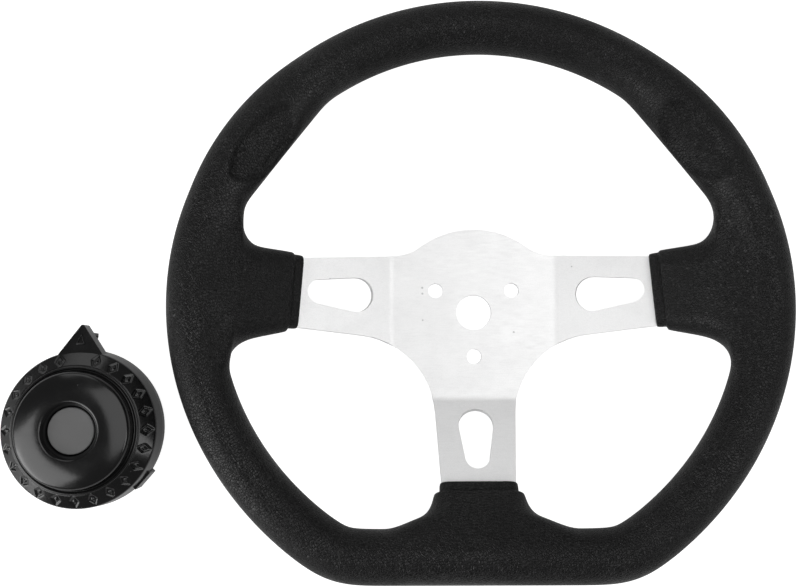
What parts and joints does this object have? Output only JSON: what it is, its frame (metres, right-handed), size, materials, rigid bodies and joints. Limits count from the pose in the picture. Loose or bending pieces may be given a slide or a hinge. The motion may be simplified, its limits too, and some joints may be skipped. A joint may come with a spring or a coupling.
{
  "type": "kart steering wheel with loose centre cap",
  "caption": "Foam-rimmed, flat-bottomed kart steering wheel on a dished metal spoke plate, with its round pointer-tipped centre cap lying beside it.",
  "frame": {"origin": "on the surface the wheel and cap lie on, under the middle of the whole group's bounding box", "axes": "+X to the driver's right, +Y towards the wheel's 12 o'clock, +Z out of the hub's front face towards the driver"},
  "size_m": [0.3491, 0.252, 0.0457],
  "materials": {
    "foam": "matt skinned foam with a leather grain",
    "spoke_metal": "pale satin sheet, lightly brushed",
    "hoop_steel": "bare drawn steel, hidden in the foam",
    "rivet_steel": "bare steel, hidden in the foam",
    "cap_plastic": "gloss moulded plastic",
    "cap_insert": "smooth dark grey disc"
  },
  "bodies": {
    "wheel": {"hoop_lug_bottom": "hoop_steel", "hoop_lug_left": "hoop_steel", "hoop_lug_right": "hoop_steel", "rim_foam": "foam", "rim_hoop": "hoop_steel", "rivet_bottom_1": "rivet_steel", "rivet_bottom_2": "rivet_steel", "rivet_left_1": "rivet_steel", "rivet_left_2": "rivet_steel", "rivet_right_1": "rivet_steel", "rivet_right_2": "rivet_steel", "spoke_plate": "spoke_metal"},
    "cap": {"cap_shell": "cap_plastic", "cap_badge": "cap_insert"}
  },
  "joints": [
    {"name": "cap_lift", "type": "slide", "parent": "wheel", "child": "cap", "axis": [0, 0, 1], "range_m": [0, 0.06]}
  ]
}
